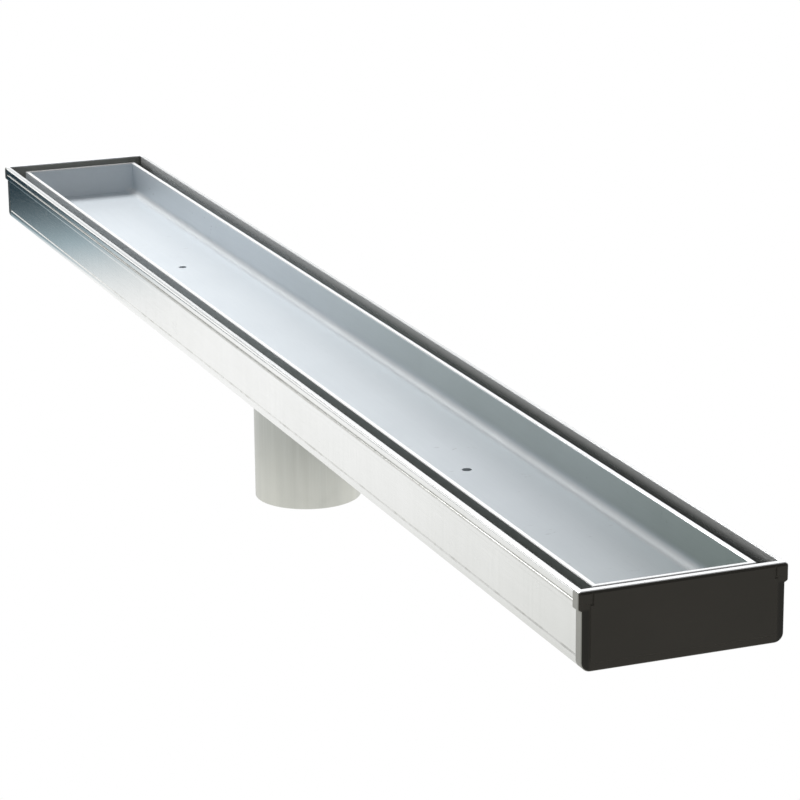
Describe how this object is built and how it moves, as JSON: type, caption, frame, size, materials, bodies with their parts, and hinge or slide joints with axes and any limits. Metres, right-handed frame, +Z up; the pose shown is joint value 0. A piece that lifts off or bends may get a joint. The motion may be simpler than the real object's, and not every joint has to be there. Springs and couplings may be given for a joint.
{
  "type": "linear channel drain",
  "caption": "Straight linear floor drain: a beaded metal channel with capped ends, a round outlet tube below its middle and a loose tray for a strip of tile.",
  "frame": {"origin": "on the outlet tube's axis, at the tube's lower end", "axes": "+X along the channel, +Y across it, +Z up"},
  "size_m": [0.95, 0.1, 0.1035],
  "materials": {
    "channel_metal": "satin mill finish with fine lines along the extrusion",
    "outlet_metal": "satin with fine lines along the tube",
    "tray_metal": "smooth satin sheet",
    "bridge_metal": "plain sheet",
    "rivet_metal": "plain",
    "plate_metal": "smooth satin",
    "cap_plastic": "fine moulded texture",
    "seal_rubber": "matt"
  },
  "bodies": {
    "root": {"channel_body": "channel_metal", "end_plate_right": "plate_metal", "end_plate_left": "plate_metal", "end_cap_right": "cap_plastic", "end_cap_left": "cap_plastic", "end_seal_right": "seal_rubber", "end_seal_left": "seal_rubber", "outlet_spigot": "outlet_metal", "outlet_gasket": "seal_rubber", "outlet_rivets": "rivet_metal", "tile_tray": "tray_metal", "tray_bridge_1": "bridge_metal", "tray_bridge_2": "bridge_metal", "tray_bridge_3": "bridge_metal", "tray_bridge_4": "bridge_metal"}
  },
  "joints": []
}
